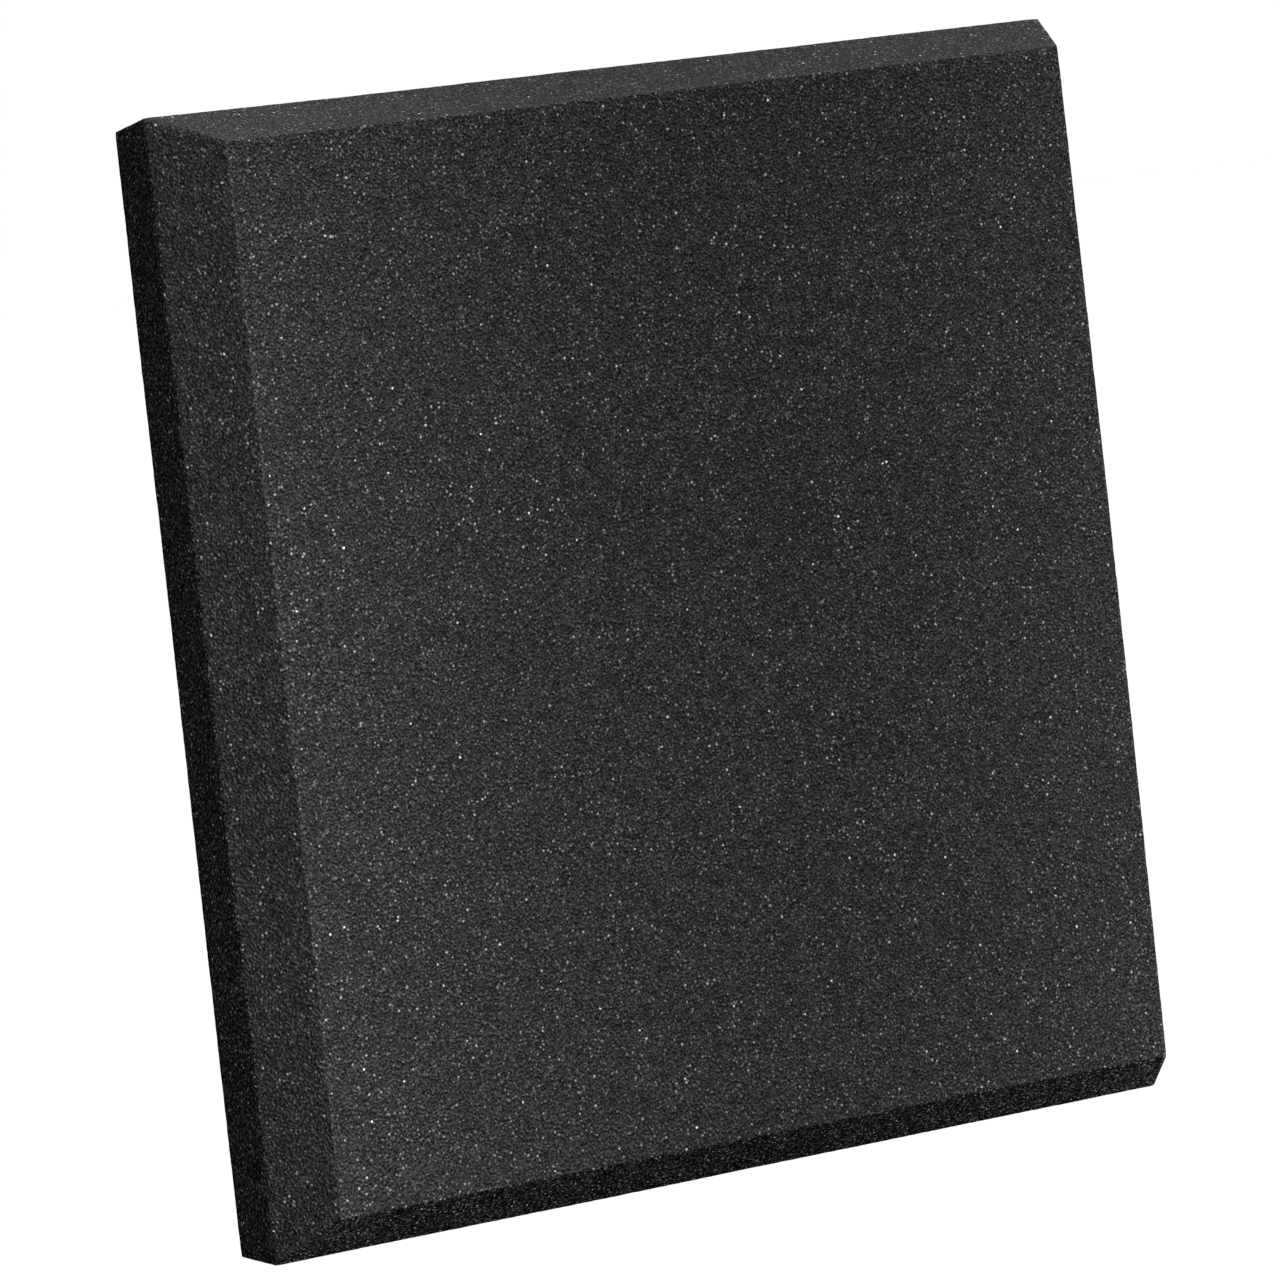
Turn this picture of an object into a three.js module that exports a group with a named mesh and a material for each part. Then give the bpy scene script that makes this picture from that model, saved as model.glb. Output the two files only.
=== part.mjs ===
// Acoustic foam panel: one square block of charcoal open-cell foam that is glued to a studio wall.
//
// The block is cut in one piece. Its front face is flat, a long bevel runs round all four edges and
// meets itself in mitres at the corners, and behind the bevel the straight-cut sides draw in a
// little towards the flat back. There is no backing board, frame, skin or fastener.
//
// Millimetres, +Z up. The back lies on the plane Y = 0 with the origin at its centre, and the front
// face looks along -Y, into the room.

import * as THREE from 'three';

// The block's widest outline, where the planes of the bevel and the sides meet
const panelWidth = 305;
const panelHeight = 305;

// Through the thickness, counted from the back
const panelThickness = 38;
const sideBand = 19;

// How far each outline lies inside the widest one
const faceInset = 10;
const backInset = 2;

// The blade leaves no sharp edge in foam: each one is eased to a small radius
const faceEdgeRadius = 3;
const sideEdgeRadius = 2;
const backEdgeRadius = 1;
const cornerRadius = 1.5;

// Facets along each eased edge and round each corner
const edgeSteps = 4;
const cornerSteps = 4;

const foamColour = 0x343436;

// The points of a tangent arc that eases one corner of a profile
function easedCorner(before, corner, after, radius) {
  const backwards = before.clone().sub(corner).normalize();
  const onwards = after.clone().sub(corner).normalize();
  const halfAngle = Math.acos(backwards.dot(onwards)) / 2;
  const inwards = backwards.clone().add(onwards).normalize();
  const centre = corner.clone().addScaledVector(inwards, radius / Math.sin(halfAngle));
  const reach = radius / Math.tan(halfAngle);
  const start = corner.clone().addScaledVector(backwards, reach).sub(centre);
  const end = corner.clone().addScaledVector(onwards, reach).sub(centre);
  const turn = Math.atan2(start.cross(end), start.dot(end));
  return Array.from({ length: edgeSteps + 1 }, (_, step) =>
    start.clone().rotateAround(new THREE.Vector2(), (turn * step) / edgeSteps).add(centre));
}

// The edge's profile from the back to the front face: x is the inset from the widest outline and
// y the height above the back
function edgeProfile() {
  const insideBack = new THREE.Vector2(panelWidth / 2, 0);
  const backEdge = new THREE.Vector2(backInset, 0);
  const sideEdge = new THREE.Vector2(0, sideBand);
  const faceEdge = new THREE.Vector2(faceInset, panelThickness);
  const insideFace = new THREE.Vector2(panelWidth / 2, panelThickness);
  return [
    ...easedCorner(insideBack, backEdge, sideEdge, backEdgeRadius),
    ...easedCorner(backEdge, sideEdge, faceEdge, sideEdgeRadius),
    ...easedCorner(sideEdge, faceEdge, insideFace, faceEdgeRadius),
  ];
}

// The block's outline at one point of the profile, anticlockwise, with a small round at each corner
function outline({ x: inset, y: height }) {
  const reachX = panelWidth / 2 - inset - cornerRadius;
  const reachY = panelHeight / 2 - inset - cornerRadius;
  const corners = [[1, 1], [-1, 1], [-1, -1], [1, -1]];
  return corners.flatMap(([sideX, sideY], corner) =>
    Array.from({ length: cornerSteps + 1 }, (_, step) => {
      const angle = (corner + step / cornerSteps) * Math.PI / 2;
      return new THREE.Vector3(
        sideX * reachX + cornerRadius * Math.cos(angle),
        sideY * reachY + cornerRadius * Math.sin(angle),
        height,
      );
    }));
}

// A closed solid through a stack of outlines with equal point counts, from the lowest to the highest
function loft(outlines) {
  const count = outlines[0].length;
  const points = outlines.flat();
  const faces = [];
  const next = (index) => (index + 1) % count;
  for (let level = 0; level + 1 < outlines.length; level += 1) {
    const lower = level * count;
    const upper = lower + count;
    for (let index = 0; index < count; index += 1) {
      faces.push(lower + index, lower + next(index), upper + next(index));
      faces.push(lower + index, upper + next(index), upper + index);
    }
  }
  const last = outlines.length - 1;
  const lowMiddle = points.push(new THREE.Vector3(0, 0, outlines[0][0].z)) - 1;
  const highMiddle = points.push(new THREE.Vector3(0, 0, outlines[last][0].z)) - 1;
  for (let index = 0; index < count; index += 1) {
    faces.push(lowMiddle, next(index), index);
    faces.push(highMiddle, last * count + index, last * count + next(index));
  }
  const geometry = new THREE.BufferGeometry().setFromPoints(points);
  geometry.setIndex(faces);
  geometry.computeVertexNormals();
  return geometry;
}

const foam = new THREE.MeshStandardMaterial({ color: foamColour, roughness: 1, metalness: 0 });

// The block is lofted lying on its back, as it is cut, and then stood up against the wall
function foamBlock() {
  const block = new THREE.Mesh(loft(edgeProfile().map(outline)), foam);
  block.name = 'foam_block';
  block.rotation.x = Math.PI / 2;
  return block;
}

const panel = new THREE.Group();
panel.name = 'acoustic_foam_panel';
panel.add(foamBlock());

export default panel;
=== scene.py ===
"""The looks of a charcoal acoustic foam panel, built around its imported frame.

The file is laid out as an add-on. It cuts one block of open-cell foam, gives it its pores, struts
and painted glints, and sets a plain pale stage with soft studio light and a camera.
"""

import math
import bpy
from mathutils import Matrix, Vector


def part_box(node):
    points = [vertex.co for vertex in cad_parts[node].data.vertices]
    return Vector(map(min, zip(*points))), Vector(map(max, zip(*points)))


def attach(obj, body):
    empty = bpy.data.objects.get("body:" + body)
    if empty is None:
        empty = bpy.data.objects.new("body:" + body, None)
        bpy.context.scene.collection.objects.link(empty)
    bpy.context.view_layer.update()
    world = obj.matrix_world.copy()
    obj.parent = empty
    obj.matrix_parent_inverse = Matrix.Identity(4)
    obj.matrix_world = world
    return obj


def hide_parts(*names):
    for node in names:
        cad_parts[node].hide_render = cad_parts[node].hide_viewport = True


bl_info = {
    "name": "Acoustic Foam Panel",
    "version": (1, 0, 0),
    "blender": (4, 5, 0),
    "location": "3D View > Sidebar > Foam Panel",
    "description": "Cuts a bevelled block of charcoal open-cell foam and lights it in a plain studio",
    "category": "Add Mesh",
}

import bmesh
import bpy
from mathutils import Matrix, Vector, geometry, noise

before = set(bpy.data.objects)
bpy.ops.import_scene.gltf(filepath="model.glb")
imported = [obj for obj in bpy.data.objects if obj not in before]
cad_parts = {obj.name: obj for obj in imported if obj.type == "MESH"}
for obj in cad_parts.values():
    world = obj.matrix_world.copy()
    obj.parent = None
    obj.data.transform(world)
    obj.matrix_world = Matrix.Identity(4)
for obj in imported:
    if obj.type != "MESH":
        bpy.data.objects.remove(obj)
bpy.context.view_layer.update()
BLOCK_LOW, BLOCK_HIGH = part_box("foam_block")
BLOCK_SIZE = BLOCK_HIGH - BLOCK_LOW
BLOCK_CENTRE = (BLOCK_HIGH + BLOCK_LOW) / 2
HALF = BLOCK_SIZE / 2
CORNERS = ((-1, 1), (1, 1), (1, -1), (-1, -1))
FOAM_BODY = "root"
FROM_CREASE = "distance_from_crease"
MM = 0.001
COARSE_WAVE = 70 * MM
RAGGED_WAVES = (2.1 * MM, 5 * MM)
MITRE_REACH = 0.9
MITRE_PASSES = 2
FLOOR_REACH = 20
LATTICE_TURN = (0.6, 0.4, 0.25)
CLOUD_PLACE = (0.2, 0.1, 0.6)
KNOT_PLACE = (0.7, 0.2, 0.4)
KNOT_CORE = 0.05
RING_REACH = 1.9
RAREST_KNOT = 0.001
FACING_UP = (0.3, 0.8)
FACING_DOWN = (-0.3, -0.8)
FACING_OUT = (-0.6, -0.9)
FACING_SLANTED = (0.5, 0.8)
FACING_ASIDE = (0.9, 0.98)
LEFT_CREASE = (-0.9, -0.92)


class FoamCut(bpy.types.PropertyGroup):
    """Sizes of the cut block that the frame's box doesn't give.

    An inset is how far a corner of an outline lies inside the box. Its four values are for the top
    left, top right, bottom right and bottom left corners, seen from the front.
    """

    side_band: bpy.props.FloatProperty(
        name="Side band", description="Depth of the straight-cut side behind the bevel",
        default=19 * MM, subtype="DISTANCE", unit="LENGTH")
    face_across: bpy.props.FloatVectorProperty(
        name="Face across", description="Insets of the face's corners across the panel",
        size=4, default=(11.2 * MM, 9.5 * MM, 9.4 * MM, 9.0 * MM), unit="LENGTH")
    face_up: bpy.props.FloatVectorProperty(
        name="Face up", description="Insets of the face's corners up the panel",
        size=4, default=(8.1 * MM, 8.1 * MM, 10.1 * MM, 10.8 * MM), unit="LENGTH")
    widest_across: bpy.props.FloatVectorProperty(
        name="Widest across", description="Insets of the widest outline's corners across the panel",
        size=4, default=(-0.5 * MM, -0.1 * MM, -0.7 * MM, 0), unit="LENGTH")
    widest_up: bpy.props.FloatVectorProperty(
        name="Widest up", description="Insets of the widest outline's corners up the panel",
        size=4, default=(0, 0.1 * MM, -0.4 * MM, -0.8 * MM), unit="LENGTH")
    back_across: bpy.props.FloatVectorProperty(
        name="Back across", description="Insets of the back's corners across the panel",
        size=4, default=(2.4 * MM, 2.0 * MM, 2.0 * MM, 1.7 * MM), unit="LENGTH")
    back_up: bpy.props.FloatVectorProperty(
        name="Back up", description="Insets of the back's corners up the panel",
        size=4, default=(2.9 * MM, 2.9 * MM, 1.0 * MM, 0.6 * MM), unit="LENGTH")
    face_bow: bpy.props.FloatVectorProperty(
        name="Face bow",
        description="How far the face's left and right edges bow to the right halfway up",
        size=2, default=(0.7 * MM, 0.85 * MM), unit="LENGTH")
    top_sag: bpy.props.FloatProperty(
        name="Top sag", description="How far the top edge sags in the middle",
        default=0.2 * MM, subtype="DISTANCE", unit="LENGTH")
    face_easing: bpy.props.FloatProperty(
        name="Face easing", description="Width of the eased strip on each side of the face's edge",
        default=0.45 * MM, subtype="DISTANCE", unit="LENGTH")
    side_easing: bpy.props.FloatProperty(
        name="Side easing", description="Width of the eased strip on each side of the widest outline",
        default=0.45 * MM, subtype="DISTANCE", unit="LENGTH")
    back_easing: bpy.props.FloatProperty(
        name="Back easing", description="Width of the eased strip on each side of the back's edge",
        default=0.5 * MM, subtype="DISTANCE", unit="LENGTH")
    mitre_easing: bpy.props.FloatProperty(
        name="Mitre easing", description="How strongly the mitres and upright corners are rounded",
        default=0.15, min=0, max=1, subtype="FACTOR")
    grid: bpy.props.FloatProperty(
        name="Grid", description="Spacing of the mesh over the foam",
        default=1.66 * MM, subtype="DISTANCE", unit="LENGTH")
    waviness: bpy.props.FloatProperty(
        name="Waviness", description="Depth of the long waves that the blade leaves",
        default=0.15 * MM, subtype="DISTANCE", unit="LENGTH")
    raggedness: bpy.props.FloatProperty(
        name="Raggedness", description="Depth of the cell-sized unevenness of the cut",
        default=0.08 * MM, subtype="DISTANCE", unit="LENGTH")


class FoamFinish(bpy.types.PropertyGroup):
    """Colour and cell structure of the foam.

    A tone is in doublings of brightness. A relief is how far a feature stands out of the cut face.
    Four values by facing are for foam that faces down, straight to a side, up, and to a side on a
    slant.
    """

    colour: bpy.props.FloatVectorProperty(
        name="Colour", description="Colour of the foam between its lightest and darkest grains",
        size=3, default=(0.034, 0.034, 0.034), min=0, max=1, subtype="COLOR")
    level: bpy.props.FloatProperty(
        name="Level", description="Brightness of the whole foam beside its colour",
        default=0.89, min=0, subtype="FACTOR")
    grain_size: bpy.props.FloatProperty(
        name="Grain size", description="Width of the finest struts and pores",
        default=0.69 * MM, subtype="DISTANCE", unit="LENGTH")
    grain_detail: bpy.props.FloatProperty(
        name="Grain detail", description="How much still finer unevenness lies over the grain",
        default=0.1, min=0)
    cloud_size: bpy.props.FloatProperty(
        name="Cloud size", description="Width of the broad lighter and darker patches",
        default=8.6 * MM, subtype="DISTANCE", unit="LENGTH")
    wrinkle_size: bpy.props.FloatProperty(
        name="Wrinkle size", description="Length over which struts and knots are bent out of shape",
        default=0.94 * MM, subtype="DISTANCE", unit="LENGTH")
    wrinkle: bpy.props.FloatProperty(
        name="Wrinkle", description="How far struts and knots are bent out of shape",
        default=0.17 * MM, subtype="DISTANCE", unit="LENGTH")
    cell_size: bpy.props.FloatProperty(
        name="Cell size", description="Usual distance between neighbouring cells",
        default=1.25 * MM, subtype="DISTANCE", unit="LENGTH")
    strut_width: bpy.props.FloatProperty(
        name="Strut width", description="Width of a strut beside its cell",
        default=0.06, min=0, subtype="FACTOR")
    knot_spacing: bpy.props.FloatProperty(
        name="Knot spacing", description="Usual distance between the knots where struts meet",
        default=1.12 * MM, subtype="DISTANCE", unit="LENGTH")
    knot_radius: bpy.props.FloatProperty(
        name="Knot radius", description="Radius of a knot beside the knots' spacing",
        default=0.5, min=0, subtype="FACTOR")
    glint_spread: bpy.props.FloatProperty(
        name="Glint spread", description="How unequal the knots' glints are",
        default=0.33, min=0)
    clustering: bpy.props.FloatProperty(
        name="Clustering", description="How much brighter knots glint in the lighter patches",
        default=0.12, min=0)
    grain_tone: bpy.props.FloatProperty(
        name="Grain tone", description="Contrast of the grain",
        default=3.55, min=0)
    cloud_tone: bpy.props.FloatProperty(
        name="Cloud tone", description="Contrast of the broad patches",
        default=0.4, min=0)
    strut_tone: bpy.props.FloatProperty(
        name="Strut tone", description="How much lighter the struts round a cell are",
        default=0.3, min=0)
    knot_tone: bpy.props.FloatProperty(
        name="Knot tone", description="How much lighter the strongest knots are",
        default=1.17, min=0)
    ring_tone: bpy.props.FloatProperty(
        name="Ring tone", description="How much darker the pores round a knot are",
        default=1.1, min=0)
    # Painted highlight: the knots' glints are painted into the foam's colour.
    glint_gain: bpy.props.FloatProperty(
        name="Glint gain", description="Painted light of the knots' glints beside the foam's colour",
        default=3.7, min=0)
    grain_relief: bpy.props.FloatProperty(
        name="Grain relief", description="Depth of the grain",
        default=1.1 * MM, subtype="DISTANCE", unit="LENGTH")
    strut_relief: bpy.props.FloatProperty(
        name="Strut relief", description="Height of the struts round a cell",
        default=0.04 * MM, subtype="DISTANCE", unit="LENGTH")
    knot_relief: bpy.props.FloatProperty(
        name="Knot relief", description="Height of the strongest knots",
        default=0.09 * MM, subtype="DISTANCE", unit="LENGTH")
    glint_relief: bpy.props.FloatProperty(
        name="Glint relief", description="How far a glinting knot stands out",
        default=0.05 * MM, subtype="DISTANCE", unit="LENGTH")
    # Painted shade and light by facing: deeper pore shade where the foam faces down or aside, less
    # where it faces up, and glints painted brighter or dimmer.
    facing_shade_contrast: bpy.props.FloatVectorProperty(
        name="Facing shade contrast", description="Painted shade: extra contrast by the way that the foam faces",
        size=4, default=(2.2, 1.1, -0.35, 0.1), min=-1)
    facing_glint: bpy.props.FloatVectorProperty(
        name="Facing glint", description="Extra painted light of glints by the way that the foam faces",
        size=4, default=(1.2, 0.2, -0.38, -0.1), min=-1)
    slant_smoothing: bpy.props.FloatProperty(
        name="Slant smoothing",
        description="Share of the grain's relief that the left and right bevels lack",
        default=0.4, min=0, max=1, subtype="FACTOR")
    # Painted light: the foam's colour is painted lighter towards its left and right edges, more on
    # the left, and towards its lower edge, less where it faces up.
    edge_fading: bpy.props.FloatProperty(
        name="Edge fading", description="How much lighter the foam is at its left and right edges",
        default=0.525, min=0, subtype="FACTOR")
    left_fading: bpy.props.FloatProperty(
        name="Left fading", description="How much lighter the foam gets evenly from right to left",
        default=0.19, min=0, max=1, subtype="FACTOR")
    low_fading: bpy.props.FloatProperty(
        name="Low fading", description="How much lighter the foam gets evenly from halfway down",
        default=0.06, min=0, max=1, subtype="FACTOR")
    upper_shade: bpy.props.FloatProperty(
        name="Upper shade", description="Share of the fading that foam which faces up lacks",
        default=0.5, min=0, max=1, subtype="FACTOR")
    # Painted highlight: the foam is painted lighter on the lit side of its creases, most along the
    # face's left crease.
    crease_highlight: bpy.props.FloatProperty(
        name="Crease highlight", description="How much lighter the face is along its creases",
        default=0.12, min=0, subtype="FACTOR")
    left_highlight: bpy.props.FloatProperty(
        name="Left highlight", description="Extra painted highlight of the face's left crease",
        default=0.16, min=0, subtype="FACTOR")
    highlight_width: bpy.props.FloatProperty(
        name="Highlight width", description="How far the painted highlight reaches from a crease",
        default=1.8 * MM, subtype="DISTANCE", unit="LENGTH")


class StudioSetting(bpy.types.PropertyGroup):
    """The stage, the lamps and the camera."""

    drop: bpy.props.FloatProperty(
        name="Drop", description="Height of the hanging panel's lower edge above the floor",
        default=0.25, subtype="DISTANCE", unit="LENGTH")
    floor_tone: bpy.props.FloatProperty(
        name="Floor tone", description="Brightness of the floor's paint to the eye",
        default=0.4, min=0, max=1, subtype="FACTOR")
    floor_lift: bpy.props.FloatProperty(
        name="Floor lift", description="White light that the floor adds to the eye",
        default=0.235, min=0, subtype="FACTOR")
    floor_bounce: bpy.props.FloatProperty(
        name="Floor bounce", description="Share of its light that the floor gives back to the panel",
        default=0.07, min=0, max=1, subtype="FACTOR")
    ambient: bpy.props.FloatProperty(
        name="Ambient", description="Strength of the even light from all round",
        default=0.02, min=0, subtype="FACTOR")
    key_strength: bpy.props.FloatProperty(
        name="Key strength", description="Strength of the key light", default=4.9, min=0)
    key_softness: bpy.props.FloatProperty(
        name="Key softness", description="How wide the key light looks from the panel",
        default=math.radians(24), subtype="ANGLE", unit="ROTATION")
    lens: bpy.props.FloatProperty(
        name="Lens", description="Focal length in millimetres on a 36 mm sensor",
        default=256.65, subtype="DISTANCE_CAMERA")
    heading: bpy.props.FloatProperty(
        name="Heading", description="How far the camera has walked to the left of the face's front",
        default=math.radians(36.51), subtype="ANGLE", unit="ROTATION")
    dip: bpy.props.FloatProperty(
        name="Dip", description="How far the camera looks down",
        default=math.radians(3.663), subtype="ANGLE", unit="ROTATION")
    roll: bpy.props.FloatProperty(
        name="Roll", description="How far the camera is turned about its view",
        default=math.radians(6.335), subtype="ANGLE", unit="ROTATION")
    distance: bpy.props.FloatProperty(
        name="Distance", description="From the camera to its aim on the face",
        default=2.469, subtype="DISTANCE", unit="LENGTH")
    aim: bpy.props.FloatVectorProperty(
        name="Aim", description="The point of the face in the middle of the picture", size=3,
        default=(-24.6 * MM, -38 * MM, -2.5 * MM), subtype="XYZ", unit="LENGTH")


def cut_outline(mesh, cut):
    """A block with rings of corners at the back, the widest outline and the face."""
    size = Matrix.LocRotScale(BLOCK_CENTRE, None, BLOCK_SIZE)
    bmesh.ops.create_cube(mesh, size=1, matrix=size)
    widest = BLOCK_HIGH.y - cut.side_band
    bmesh.ops.bisect_plane(
        mesh, geom=mesh.verts[:] + mesh.edges[:] + mesh.faces[:],
        plane_co=(0, widest, 0), plane_no=(0, 1, 0))
    rings = (
        (BLOCK_LOW.y, cut.face_across, cut.face_up),
        (widest, cut.widest_across, cut.widest_up),
        (BLOCK_HIGH.y, cut.back_across, cut.back_up),
    )
    for vert in mesh.verts:
        depth, across, up = min(rings, key=lambda ring: abs(ring[0] - vert.co.y))
        side = Vector((math.copysign(1, vert.co.x), 0, math.copysign(1, vert.co.z)))
        corner = CORNERS.index((side.x, side.z))
        vert.co.x -= side.x * across[corner]
        vert.co.z -= side.z * up[corner]


def ring_edges(mesh, low_y, high_y):
    """The edges that run round the block between two depths."""
    return [edge for edge in mesh.edges if all(low_y < vert.co.y < high_y for vert in edge.verts)]


def ease_rings(mesh, cut):
    """Each ring of edges gets the small round that a blade leaves in foam."""
    reach = cut.grid
    widest = BLOCK_HIGH.y - cut.side_band
    rings = (
        (BLOCK_LOW.y, cut.face_easing, 8),
        (widest, cut.side_easing, 6),
        (BLOCK_HIGH.y, cut.back_easing, 3),
    )
    for depth, easing, segments in rings:
        bmesh.ops.bevel(
            mesh, geom=ring_edges(mesh, depth - reach, depth + reach), offset=easing,
            offset_type="OFFSET", segments=segments, profile=0.5, affect="EDGES", material=-1)


def edges_along(mesh, axis, shortest):
    """Edges longer than a length that run mainly along one axis."""
    found = []
    for edge in mesh.edges:
        run = edge.verts[1].co - edge.verts[0].co
        if run.length > shortest and abs(run[axis]) > 0.8 * run.length:
            found.append(edge)
    return found


def lay_grid(mesh, cut):
    """The block's long edges, then its bevel and side band, are divided into an even grid."""
    long_edges = edges_along(mesh, 0, HALF.x) + edges_along(mesh, 2, HALF.z)
    across = round(BLOCK_SIZE.x / cut.grid)
    bmesh.ops.subdivide_edges(mesh, edges=long_edges, cuts=across - 1, use_grid_fill=True)
    bands = edges_along(mesh, 1, cut.side_band / 2)
    deep = round(cut.side_band / cut.grid)
    bmesh.ops.subdivide_edges(mesh, edges=bands, cuts=deep - 1, use_grid_fill=True)


def soften_mitres(mesh, cut):
    """The four mitres and upright corners lose their knife edge."""
    outer = MITRE_REACH * HALF.x
    sharp = [
        vert for vert in mesh.verts
        if abs(abs(vert.co.x) - abs(vert.co.z)) < cut.grid and abs(vert.co.x) > outer
    ]
    for _ in range(MITRE_PASSES):
        bmesh.ops.smooth_vert(
            mesh, verts=sharp, factor=cut.mitre_easing,
            use_axis_x=True, use_axis_y=True, use_axis_z=True)


def face_corners(cut):
    """The corners of the face, from the top left one clockwise."""
    return [
        Vector((side_x * (HALF.x - across), BLOCK_LOW.y, side_z * (HALF.z - up)))
        for (side_x, side_z), across, up in zip(CORNERS, cut.face_across, cut.face_up)
    ]


def mark_creases(mesh, cut):
    """Every point keeps its distance from the nearest crease that catches the light on its side.

    On the face these are the left, right and lower creases, and on the bevels the upper one.
    """
    top_left, top_right, low_right, low_left = face_corners(cut)
    on_face = ((top_right, low_right), (low_right, low_left), (low_left, top_left))
    on_bevel = ((top_left, top_right),)
    # The distance places the painted highlight along the creases.
    layer = mesh.verts.layers.float.new(FROM_CREASE)
    for vert in mesh.verts:
        lines = on_face if vert.co.y < BLOCK_LOW.y + cut.face_easing / 4 else on_bevel
        vert[layer] = min(
            (vert.co - geometry.intersect_point_line(vert.co, start, end)[0]).length
            for start, end in lines)


def wave(place, length, seed):
    """Smooth noise from -1 to 1 with waves of one length."""
    return noise.noise(place / length + Vector((seed, seed * 0.37, seed * 0.71)))


def hump(share):
    """Nothing at either end of a side and one halfway along it."""
    return 1 - share * share


def uneven_cut(mesh, cut):
    """The blade's wander: bowed edges, long waves and a cell-sized raggedness."""
    mesh.normal_update()
    widest = BLOCK_HIGH.y - cut.side_band
    left_bow, right_bow = cut.face_bow
    fine_wave, broad_wave = RAGGED_WAVES
    moved = {}
    for vert in mesh.verts:
        place = vert.co
        across, up = place.x / HALF.x, place.z / HALF.z
        depth = min(1, max(0, (widest - place.y) / (widest - BLOCK_LOW.y)))
        bow = left_bow + (right_bow - left_bow) * (across + 1) / 2
        bent = Vector((bow * hump(up) * depth, 0, -cut.top_sag * hump(across) * max(0, up)))
        rough = wave(place, fine_wave, 5.3) + 0.6 * wave(place, broad_wave, 8.9)
        uneven = rough * cut.raggedness + wave(place, COARSE_WAVE, 3.1) * cut.waviness
        shift = bent + vert.normal * uneven
        if place.y > BLOCK_HIGH.y - cut.back_easing / 2:
            shift.y = min(shift.y, BLOCK_HIGH.y - place.y)
        moved[vert] = place + shift
    for vert, place in moved.items():
        vert.co = place


def piece_from(mesh, name):
    """Turns a finished bmesh into a smooth-shaded object whose place is in its mesh."""
    for face in mesh.faces:
        face.smooth = True
    bmesh.ops.recalc_face_normals(mesh, faces=mesh.faces[:])
    data = bpy.data.meshes.new(name)
    mesh.to_mesh(data)
    mesh.free()
    piece = bpy.data.objects.new(name, data)
    bpy.context.scene.collection.objects.link(piece)
    return piece


class Wire:
    """One output in a node tree, on which Python's operators add Math nodes."""

    def __init__(self, tree, socket):
        self.tree = tree
        self.socket = socket

    def maths(self, operation, *values):
        return self.tree.add("ShaderNodeMath", dict(enumerate(values)), operation=operation)

    def __add__(self, other):
        return self.maths("ADD", self, other)

    def __radd__(self, other):
        return self.maths("ADD", other, self)

    def __mul__(self, other):
        return self.maths("MULTIPLY", self, other)

    def __rmul__(self, other):
        return self.maths("MULTIPLY", other, self)

    def __sub__(self, other):
        return self.maths("SUBTRACT", self, other)

    def __rsub__(self, other):
        return self.maths("SUBTRACT", other, self)

    def __truediv__(self, other):
        return self.maths("DIVIDE", self, other)

    def __pow__(self, other):
        return self.maths("POWER", self, other)

    def __rpow__(self, other):
        return self.maths("POWER", other, self)

    def __abs__(self):
        return self.maths("ABSOLUTE", self)

    def most(self, other):
        return self.maths("MAXIMUM", self, other)

    def ease(self, start, end):
        """Runs smoothly from nothing at start to one at end."""
        values = {"Value": self, "From Min": start, "From Max": end, "To Min": 0.0, "To Max": 1.0}
        return self.tree.add("ShaderNodeMapRange", values, interpolation_type="SMOOTHSTEP")

    def twin(self, output):
        """Another output of the same node."""
        return Wire(self.tree, self.socket.node.outputs[output])


class Tree:
    """A cleared node tree with one method that adds any node."""

    def __init__(self, owner):
        owner.use_nodes = True
        self.tree = owner.node_tree
        self.tree.nodes.clear()

    def add(self, kind, values=None, output=0, **settings):
        """Adds a node, sets it up, fills its sockets from values or wires and returns one output."""
        node = self.tree.nodes.new(kind)
        for key, value in settings.items():
            setattr(node, key, value)
        for key, value in (values or {}).items():
            if isinstance(value, Wire):
                self.tree.links.new(value.socket, node.inputs[key])
            else:
                node.inputs[key].default_value = value
        return Wire(self, node.outputs[output]) if len(node.outputs) else None

    def cells(self, place, size, feature):
        """A field of irregular cells of one size."""
        values = {"Vector": place, "Scale": 1 / size, "Randomness": 1.0}
        return self.add("ShaderNodeTexVoronoi", values, output="Distance", feature=feature)

    def fog(self, place, size, detail=1.0):
        """Soft noise from 0 to 1 with clouds of one size."""
        values = {"Vector": place, "Scale": 1 / size, "Detail": detail}
        return self.add("ShaderNodeTexNoise", values)

    def moved(self, place, offset):
        """The same place in another part of the foam."""
        return self.add("ShaderNodeVectorMath", {0: place, 1: offset}, operation="ADD")

    def crumpled(self, place, size, amount):
        """Place pushed about by fine noise, so that the struts aren't straight."""
        centred = self.moved(self.fog(place, size).twin("Color"), (-0.5, -0.5, -0.5))
        push = self.add("ShaderNodeVectorMath", {0: centred, "Scale": amount}, operation="SCALE")
        return self.moved(place, push)


def facing_masks(tree, place):
    """Where the foam faces down, straight to a side, up, and to a side on a slant."""
    normal = tree.add("ShaderNodeSeparateXYZ", {0: place.twin("Normal")})
    rise = normal.twin("Z")
    aside = abs(normal).ease(*FACING_ASIDE)
    slant = abs(normal).ease(*FACING_SLANTED) - aside
    return rise.ease(*FACING_DOWN), aside, rise.ease(*FACING_UP), slant


def by_facing(masks, shares):
    """One, and the share of the way that the foam faces."""
    return sum((mask * share for mask, share in zip(masks, shares)), 1)


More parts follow.
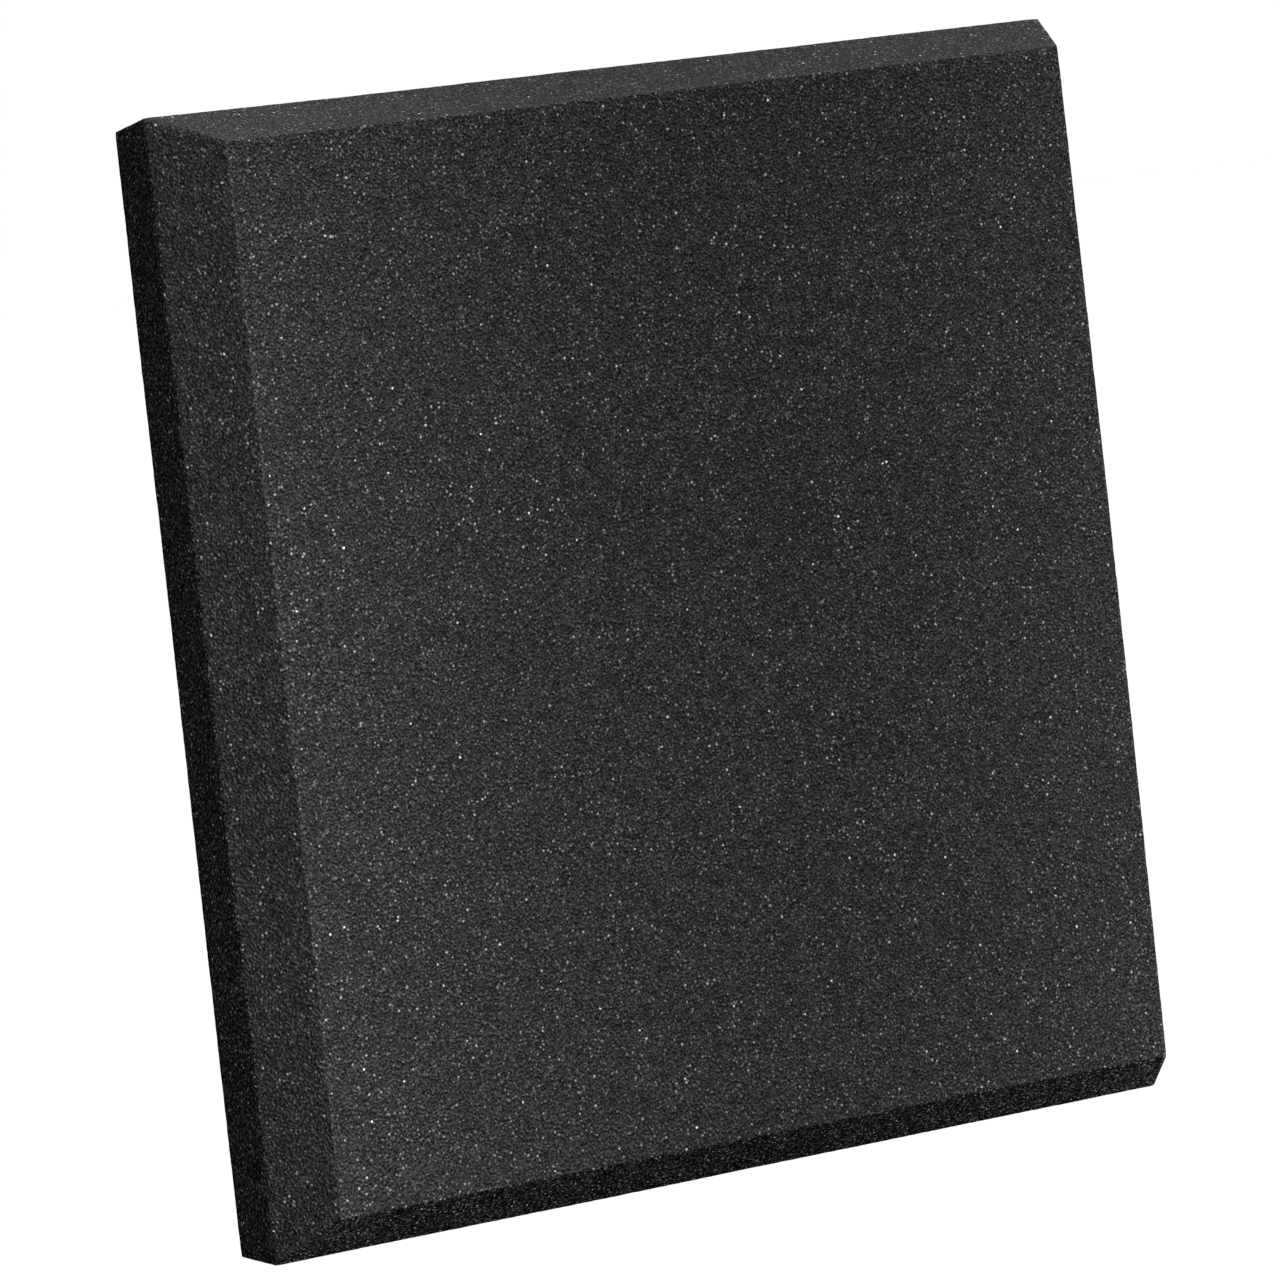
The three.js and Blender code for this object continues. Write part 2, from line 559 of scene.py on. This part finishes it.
def foam_tones(tree, finish, place, masks):
    """The foam's shade and height: grain, clouds, struts, and knots with painted glints.

    The textures' own lattice is turned off the panel's axes, so that no face lies along it. A knot's
    dice are thrown once for all of it, and only the luckiest knots glint brightly.
    """
    turned = tree.add(
        "ShaderNodeVectorRotate", {"Vector": place, "Rotation": LATTICE_TURN},
        rotation_type="EULER_XYZ")
    grain = tree.fog(turned, finish.grain_size, finish.grain_detail) - 0.5
    cloud = tree.fog(tree.moved(turned, CLOUD_PLACE), finish.cloud_size) - 0.5
    wrinkled = tree.crumpled(turned, finish.wrinkle_size, finish.wrinkle)
    strut = tree.cells(wrinkled, finish.cell_size, "DISTANCE_TO_EDGE").ease(finish.strut_width, 0.0)
    knot = tree.cells(tree.moved(wrinkled, KNOT_PLACE), finish.knot_spacing, "F1")
    thrown = tree.add("ShaderNodeTexWhiteNoise", {"Vector": knot.twin("Color")}, output="Color")
    dice = tree.add("ShaderNodeSeparateColor", {0: thrown})
    rarity = dice.twin("Green") * (1 - RAREST_KNOT) + RAREST_KNOT
    luck = rarity ** (-finish.glint_spread - cloud * finish.clustering) - 1
    dome = knot.ease(finish.knot_radius, KNOT_CORE)
    ring = knot.ease(RING_REACH * finish.knot_radius, finish.knot_radius) * (1 - dome)
    doublings = (
        grain * finish.grain_tone + cloud * finish.cloud_tone + strut * finish.strut_tone
        + dice * (dome * finish.knot_tone - ring * finish.ring_tone))
    # Painted highlight: the knots' glints are painted into the base colour, brighter or dimmer by the
    # way that the foam faces.
    glint = dome * luck * by_facing(masks, finish.facing_glint) * finish.glint_gain
    # Painted shade: the grain's contrast is raised or lowered by the way that the foam faces.
    shade = 2.0 ** (doublings * by_facing(masks, finish.facing_shade_contrast)) + glint
    rough = 1 - masks[-1] * finish.slant_smoothing
    height = (
        grain * rough * finish.grain_relief + strut * finish.strut_relief
        + dome * (dice * finish.knot_relief + luck * finish.glint_relief))
    return shade, height


def painted_edge_light(tree, finish, place, upper):
    """Painted light towards the foam's left, right and lower edges, and a painted highlight along its
    creases.
    """
    spot = tree.add("ShaderNodeSeparateXYZ", {0: place})
    along = spot / HALF.x
    # Painted light: lighter towards the left and right edges, more on the left, and lower down.
    painted_light = along * along * finish.edge_fading - along * finish.left_fading
    painted_light = painted_light - spot.twin("Z") / HALF.z * finish.low_fading
    painted_light_factor = painted_light * (1 - upper * finish.upper_shade) + 1
    depth = tree.add("ShaderNodeSeparateXYZ", {0: place.twin("Normal")}, output="Y")
    lightward = depth.ease(*FACING_OUT) + upper
    # Painted highlight along the lit side of each crease.
    far = tree.add("ShaderNodeAttribute", output="Fac", attribute_name=FROM_CREASE)
    near = far.ease(finish.highlight_width, finish.highlight_width / 3) * lightward
    left = along.ease(*LEFT_CREASE)
    return painted_light_factor * (near * (left * finish.left_highlight + finish.crease_highlight) + 1)


def foam_material(finish):
    """Charcoal open-cell foam, with painted light towards its edges and a painted highlight along its
    creases.
    """
    material = bpy.data.materials.new("charcoal_open_cell_foam")
    tree = Tree(material)
    place = tree.add("ShaderNodeTexCoord", output="Object")
    masks = facing_masks(tree, place)
    shade, height = foam_tones(tree, finish, place, masks)
    tone_with_painted_light = shade * painted_edge_light(tree, finish, place, masks[2]) * finish.level
    colour = tree.add(
        "ShaderNodeVectorMath", {0: tuple(finish.colour), "Scale": tone_with_painted_light}, operation="SCALE")
    bumped = tree.add("ShaderNodeBump", {"Strength": 1.0, "Distance": 1.0, "Height": height})
    shader = tree.add(
        "ShaderNodeBsdfPrincipled",
        {"Base Color": colour, "Roughness": 0.95, "Normal": bumped, "Specular IOR Level": 0.0})
    tree.add("ShaderNodeOutputMaterial", {"Surface": shader})
    return material


class FOAMPANEL_OT_cut_block(bpy.types.Operator):
    """Cuts the foam block and gives it its finish"""

    bl_idname = "foampanel.cut_block"
    bl_label = "Cut the foam block"

    def execute(self, context):
        cut = context.scene.foam_cut
        mesh = bmesh.new()
        cut_outline(mesh, cut)
        ease_rings(mesh, cut)
        lay_grid(mesh, cut)
        soften_mitres(mesh, cut)
        mark_creases(mesh, cut)
        uneven_cut(mesh, cut)
        block = piece_from(mesh, "foam_block_cut")
        block.data.materials.append(foam_material(context.scene.foam_finish))
        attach(block, FOAM_BODY)
        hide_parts("foam_block")
        return {"FINISHED"}


def seen_by_eye(tree):
    """One for the camera, mirrors and glass, and zero for light that goes from surface to surface."""
    ray = tree.add("ShaderNodeLightPath", output="Is Camera Ray")
    return ray.most(ray.twin("Is Glossy Ray")).most(ray.twin("Is Transmission Ray"))


def matt(tree, tone):
    """A dull grey paint."""
    return tree.add("ShaderNodeBsdfDiffuse", {"Color": (tone, tone, tone, 1)})


def floor_material(studio):
    """A pale floor: white to the eye, and dull in the light that it gives back to the panel."""
    material = bpy.data.materials.new("pale_floor")
    tree = Tree(material)
    lift = tree.add("ShaderNodeEmission", {"Strength": studio.floor_lift})
    pale = tree.add("ShaderNodeAddShader", {0: matt(tree, studio.floor_tone), 1: lift})
    surface = tree.add(
        "ShaderNodeMixShader",
        {0: seen_by_eye(tree), 1: matt(tree, studio.floor_bounce), 2: pale})
    tree.add("ShaderNodeOutputMaterial", {"Surface": surface})
    return material


def make_floor(studio):
    """A wide floor a little way below the hanging panel."""
    mesh = bmesh.new()
    level = BLOCK_LOW.z - studio.drop
    bmesh.ops.create_grid(
        mesh, x_segments=1, y_segments=1, size=FLOOR_REACH,
        matrix=Matrix.Translation((0, 0, level)))
    floor = piece_from(mesh, "floor")
    floor.data.materials.append(floor_material(studio))


def light_world(studio):
    """Even light from all round, on a background that is white to the eye."""
    world = bpy.data.worlds.new("studio_air")
    bpy.context.scene.world = world
    tree = Tree(world)
    seen = seen_by_eye(tree)
    strength = seen * (1 - studio.ambient) + studio.ambient
    air = tree.add("ShaderNodeBackground", {"Color": (1, 1, 1, 1), "Strength": strength})
    tree.add("ShaderNodeOutputWorld", {"Surface": air})


def bearing(heading, rise):
    """The direction seen from the face: heading runs from the front towards +X, rise upwards."""
    flat = math.cos(rise)
    return Vector((math.sin(heading) * flat, -math.cos(heading) * flat, math.sin(rise)))


def hang_lamp(name, kind, heading, rise, distance):
    """A lamp that looks at the middle of the panel."""
    lamp = bpy.data.lights.new(name, kind)
    holder = bpy.data.objects.new(name, lamp)
    way = bearing(math.radians(heading), math.radians(rise))
    holder.location = way * distance
    holder.rotation_euler = way.to_track_quat("Z", "Y").to_euler()
    holder.visible_camera = False
    bpy.context.scene.collection.objects.link(holder)
    return lamp


def light_far(studio, name, heading, rise, share):
    """A soft light from far away, with a share of the key light's strength."""
    lamp = hang_lamp(name, "SUN", heading, rise, 3)
    lamp.energy = studio.key_strength * share
    lamp.angle = studio.key_softness


def light_fill(name, heading, rise, distance, size, power):
    """A small soft lamp near the panel."""
    fill = hang_lamp(name, "AREA", heading, rise, distance)
    fill.shape = "DISK"
    fill.size = size
    fill.energy = power


def place_camera(studio):
    """The camera stands to the left of the face's front, looks a little down and is rolled."""
    camera = bpy.data.cameras.new("camera")
    camera.sensor_width = 36
    camera.lens = studio.lens
    camera.clip_end = 100
    holder = bpy.data.objects.new("camera", camera)
    way = bearing(-studio.heading, studio.dip)
    level = way.to_track_quat("Z", "Y").to_matrix().to_4x4()
    rolled = level @ Matrix.Rotation(-studio.roll, 4, "Z")
    holder.matrix_world = Matrix.Translation(Vector(studio.aim) + way * studio.distance) @ rolled
    bpy.context.scene.collection.objects.link(holder)
    bpy.context.scene.camera = holder


class FOAMPANEL_OT_set_stage(bpy.types.Operator):
    """Sets the floor, the light and the camera"""

    bl_idname = "foampanel.set_stage"
    bl_label = "Set the stage"

    def execute(self, context):
        studio = context.scene.foam_studio
        make_floor(studio)
        light_world(studio)
        light_far(studio, "key", heading=80, rise=60, share=1)
        light_far(studio, "front_light", heading=0, rise=40, share=0.6)
        light_fill("low_left_fill", heading=-30, rise=-15, distance=0.45, size=0.3, power=0.28)
        light_fill("low_right_fill", heading=60, rise=-30, distance=0.45, size=0.3, power=0.36)
        light_fill("left_fill", heading=-80, rise=10, distance=0.45, size=0.3, power=0.085)
        light_fill("back_fill", heading=155, rise=25, distance=1.2, size=0.8, power=15)
        place_camera(studio)
        context.scene.view_settings.view_transform = "Standard"
        return {"FINISHED"}


class FOAMPANEL_PT_sidebar(bpy.types.Panel):
    """Lists the panel's operators and settings"""

    bl_label = "Foam Panel"
    bl_idname = "FOAMPANEL_PT_sidebar"
    bl_space_type = "VIEW_3D"
    bl_region_type = "UI"
    bl_category = "Foam Panel"

    def draw(self, context):
        layout = self.layout
        for group in (context.scene.foam_cut, context.scene.foam_finish, context.scene.foam_studio):
            for name in group.bl_rna.properties.keys():
                if name not in ("rna_type", "name"):
                    layout.prop(group, name)
        layout.operator(FOAMPANEL_OT_cut_block.bl_idname)
        layout.operator(FOAMPANEL_OT_set_stage.bl_idname)


CLASSES = (
    FoamCut,
    FoamFinish,
    StudioSetting,
    FOAMPANEL_OT_cut_block,
    FOAMPANEL_OT_set_stage,
    FOAMPANEL_PT_sidebar,
)


def register():
    for item in CLASSES:
        bpy.utils.register_class(item)
    bpy.types.Scene.foam_cut = bpy.props.PointerProperty(type=FoamCut)
    bpy.types.Scene.foam_finish = bpy.props.PointerProperty(type=FoamFinish)
    bpy.types.Scene.foam_studio = bpy.props.PointerProperty(type=StudioSetting)


def unregister():
    del bpy.types.Scene.foam_studio
    del bpy.types.Scene.foam_finish
    del bpy.types.Scene.foam_cut
    for item in reversed(CLASSES):
        bpy.utils.unregister_class(item)


def main():
    register()
    bpy.ops.foampanel.set_stage()
    bpy.ops.foampanel.cut_block()


if __name__ == "__main__":
    main()
